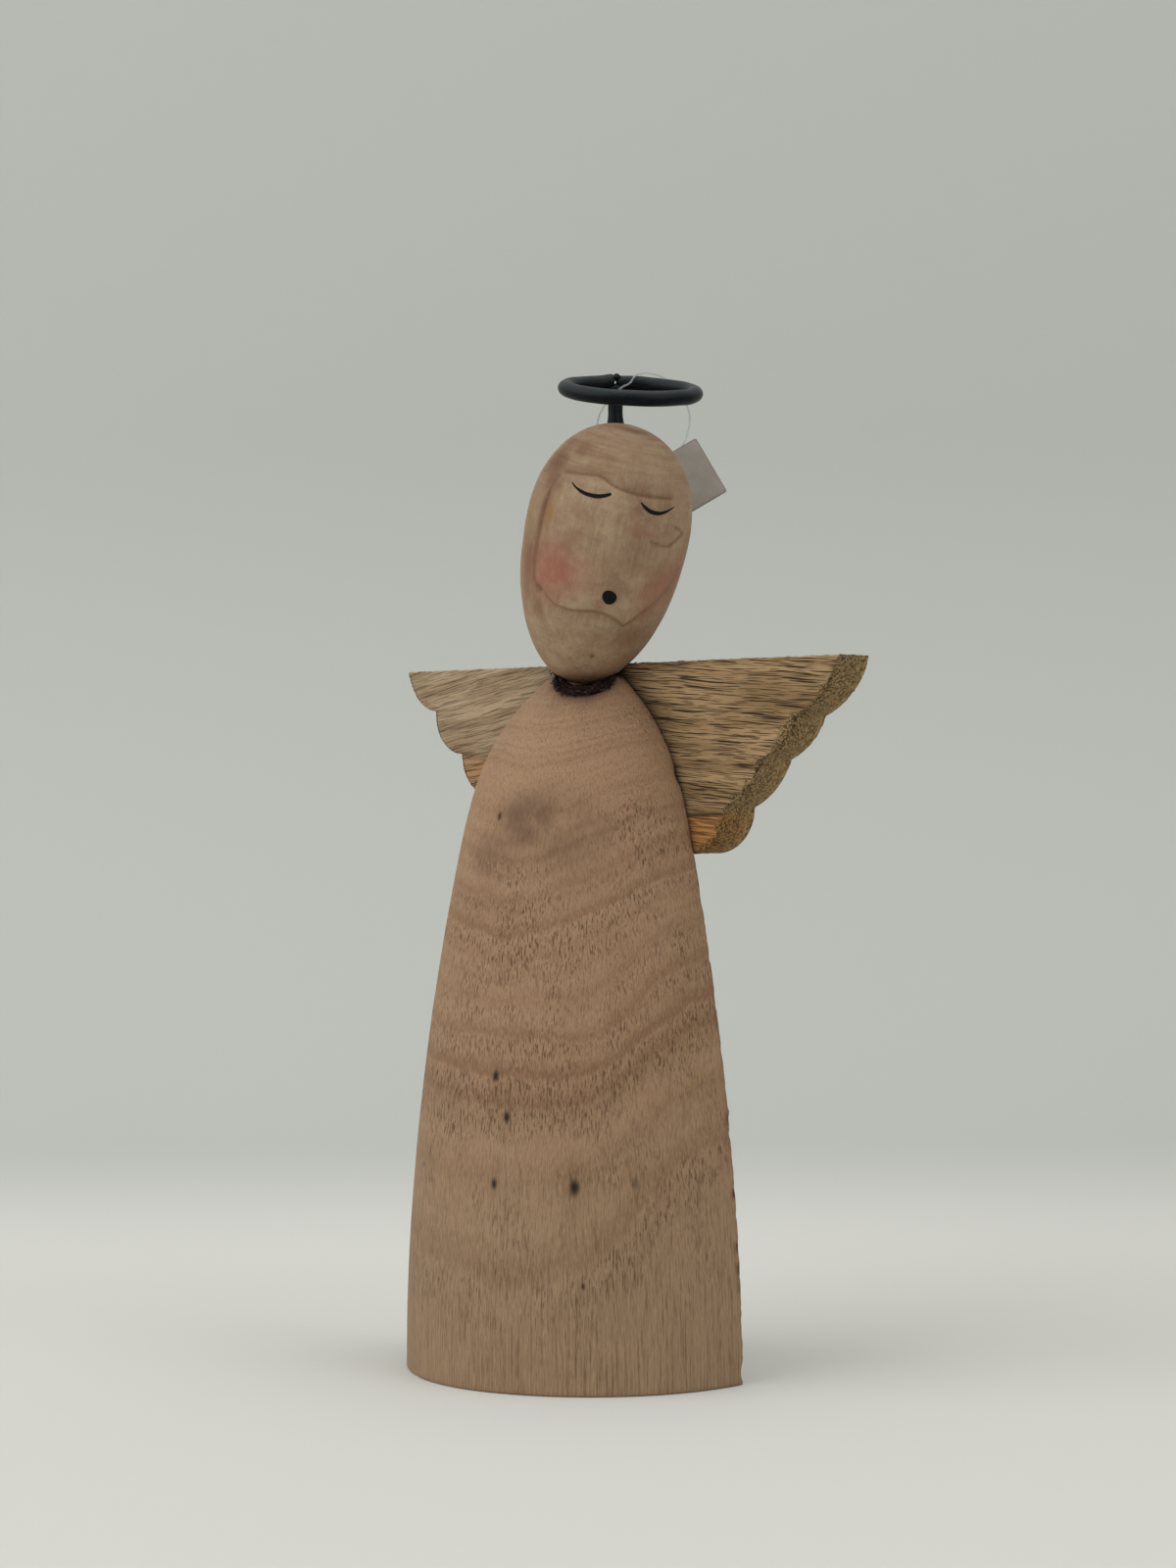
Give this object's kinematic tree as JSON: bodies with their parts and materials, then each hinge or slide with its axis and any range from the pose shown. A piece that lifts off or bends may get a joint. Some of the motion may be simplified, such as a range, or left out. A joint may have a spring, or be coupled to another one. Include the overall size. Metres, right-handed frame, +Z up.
{
  "type": "wooden angel figure",
  "caption": "Standing wooden angel: half-cone gown with a flat back, egg head that turns on a dowel, scalloped wing boards, wire halo and a card tag on a nylon loop.",
  "frame": {"origin": "on the surface that the base stands on, under the middle of the gown and 20 mm in front of its flat back", "axes": "+Z up, -Y the way the round front of the gown faces, +X towards the figure's left hand and its longer wing"},
  "size_m": [0.1476, 0.0812, 0.2514],
  "materials": {
    "gown_wood": "sanded, unvarnished",
    "dowel_wood": "plain dowel",
    "head_wood": "sanded, with a carved and tinted face",
    "wing_wood": "rough sawn, open pores",
    "nail_steel": "plain bright nails",
    "halo_black": "satin black",
    "tag_grey": "matt grey card",
    "nylon": "clear nylon"
  },
  "bodies": {
    "gown": {"gown_body": "gown_wood", "neck_dowel": "dowel_wood", "left_wing": "wing_wood", "right_wing": "wing_wood", "wing_nails": "nail_steel"},
    "head": {"head": "head_wood", "halo_ring": "halo_black", "halo_stem": "halo_black", "tag_loop": "nylon", "loop_lock": "nylon"},
    "tag": {"tag_card": "tag_grey"}
  },
  "joints": [
    {"name": "head_turn", "type": "hinge", "parent": "gown", "child": "head", "pos_m": [-0.0006, 0.0143, 0.1735], "axis": [0.2924, 0, 0.9563], "continuous": true},
    {"name": "card_swing", "type": "hinge", "parent": "head", "child": "tag", "pos_m": [0.008, 0.0427, 0.22989], "axis": [-0.6769, 0.7361, 0], "range_deg": [-90, 90]}
  ]
}
